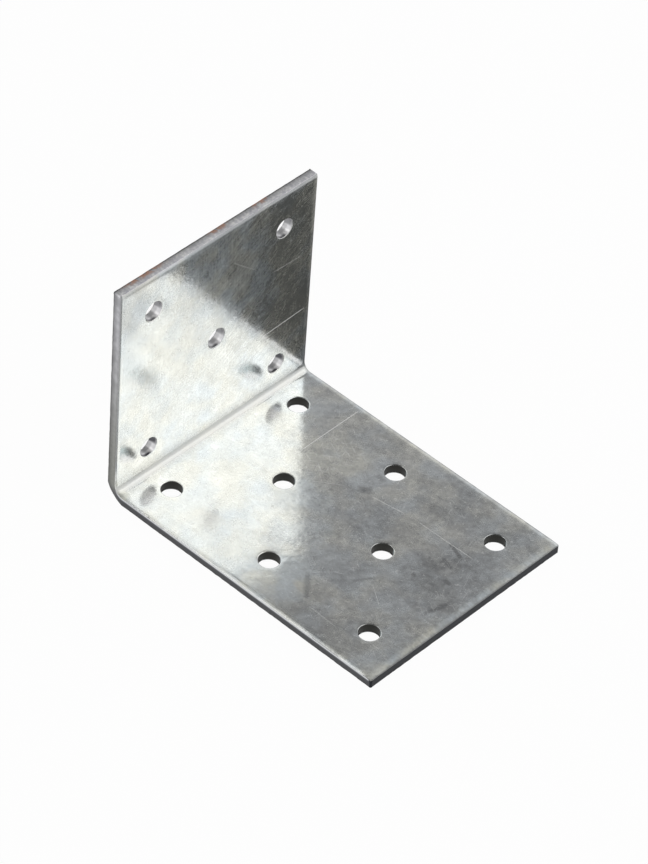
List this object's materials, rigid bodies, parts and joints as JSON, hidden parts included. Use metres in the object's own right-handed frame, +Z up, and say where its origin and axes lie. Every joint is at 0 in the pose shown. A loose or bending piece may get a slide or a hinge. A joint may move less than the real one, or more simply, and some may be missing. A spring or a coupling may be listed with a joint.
{
  "type": "corner brace bracket",
  "caption": "Right-angle corner brace folded from one perforated steel strip, with staggered nail holes in a long leg and a short leg.",
  "frame": {"origin": "middle of the underside: halfway along the lying leg and halfway across the strip", "axes": "+X along the lying leg away from the fold, +Y along the fold, +Z up along the standing leg"},
  "size_m": [0.08, 0.06, 0.06],
  "materials": {
    "zinc_sheet": "semi-gloss zinc coating with smudges and fine scratches"
  },
  "bodies": {
    "root": {"bracket": "zinc_sheet"}
  },
  "joints": []
}
